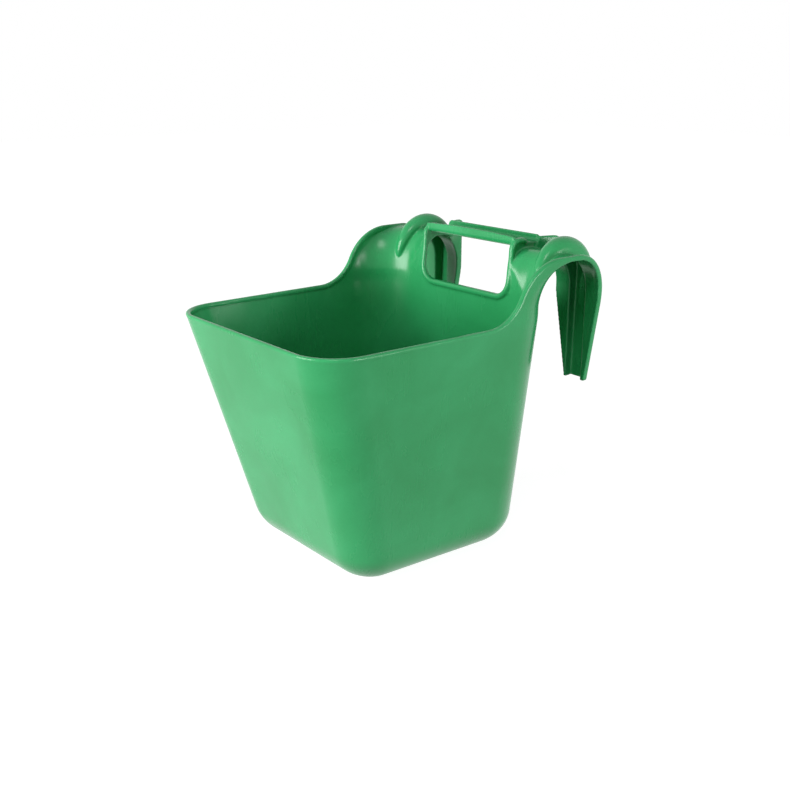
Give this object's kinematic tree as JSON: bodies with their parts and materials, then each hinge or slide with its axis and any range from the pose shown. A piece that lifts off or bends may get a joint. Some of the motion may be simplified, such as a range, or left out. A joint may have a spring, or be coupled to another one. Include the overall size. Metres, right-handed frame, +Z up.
{
  "type": "hook-over feed manger",
  "caption": "Open plastic feed manger with a tapered square tub, a hand opening under a gutter-shaped grip, and hooks at the back that reach over a door or rail.",
  "frame": {"origin": "on the ground, under the middle of the whole outline", "axes": "+Z up, +Y towards the door side where the hooks are, +X to the right-hand side seen from the front"},
  "size_m": [0.2738, 0.3479, 0.3126],
  "materials": {
    "moulding": "glossy"
  },
  "bodies": {
    "root": {"basin": "moulding", "rim": "moulding", "back_panel": "moulding", "grip": "moulding", "shoulder_left": "moulding", "shoulder_right": "moulding", "hook_left": "moulding", "hook_right": "moulding"}
  },
  "joints": []
}
